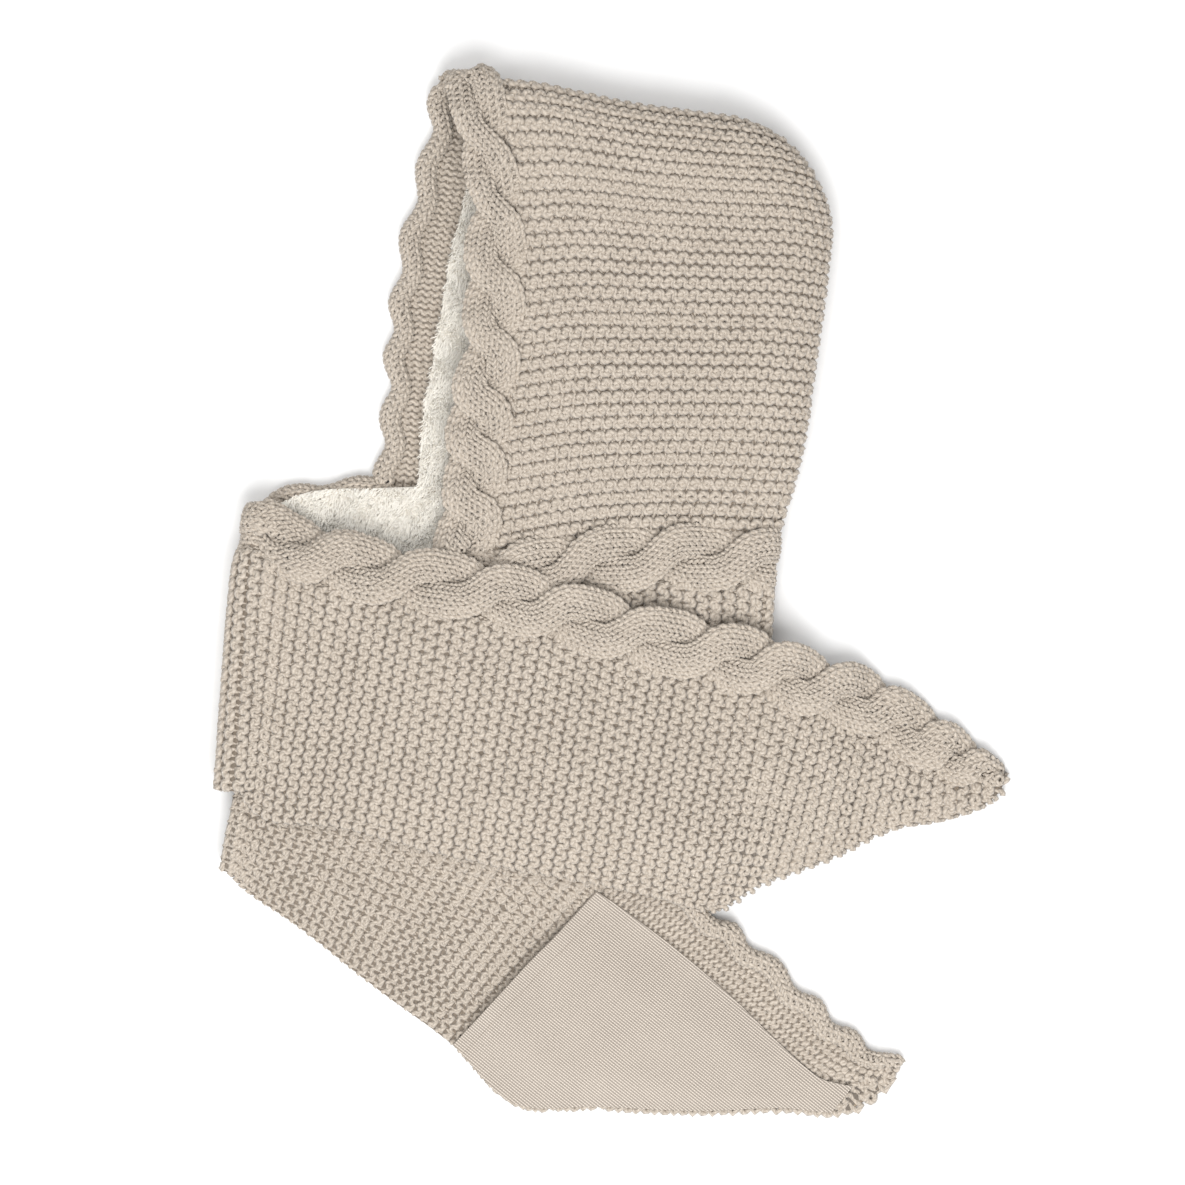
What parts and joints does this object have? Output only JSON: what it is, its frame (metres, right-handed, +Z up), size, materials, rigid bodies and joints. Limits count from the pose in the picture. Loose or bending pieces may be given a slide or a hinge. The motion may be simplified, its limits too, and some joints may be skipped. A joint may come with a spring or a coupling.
{
  "type": "hooded scarf",
  "caption": "Chunky knit hood with a fur lining and cable borders, sewn to a long pocketed scarf that lies folded over itself.",
  "frame": {"origin": "middle of the plan outline, on the surface that the scarf lies on", "axes": "+Z up off that surface, +Y toward the crown of the hood, +X toward the nape side"},
  "size_m": [0.5886, 0.7782, 0.0581],
  "materials": {
    "garter_knit": "chunky garter stitch",
    "cable_knit": "chunky cable stitch",
    "fur": "short faux fur pile",
    "fine_knit": "fine rib knit"
  },
  "bodies": {
    "root": {"hood_shell": "garter_knit", "face_cable": "cable_knit", "hood_lining": "fur", "scarf_band": "garter_knit", "scarf_cable": "cable_knit", "pocket_near": "fine_knit", "pocket_far": "fine_knit"}
  },
  "joints": []
}
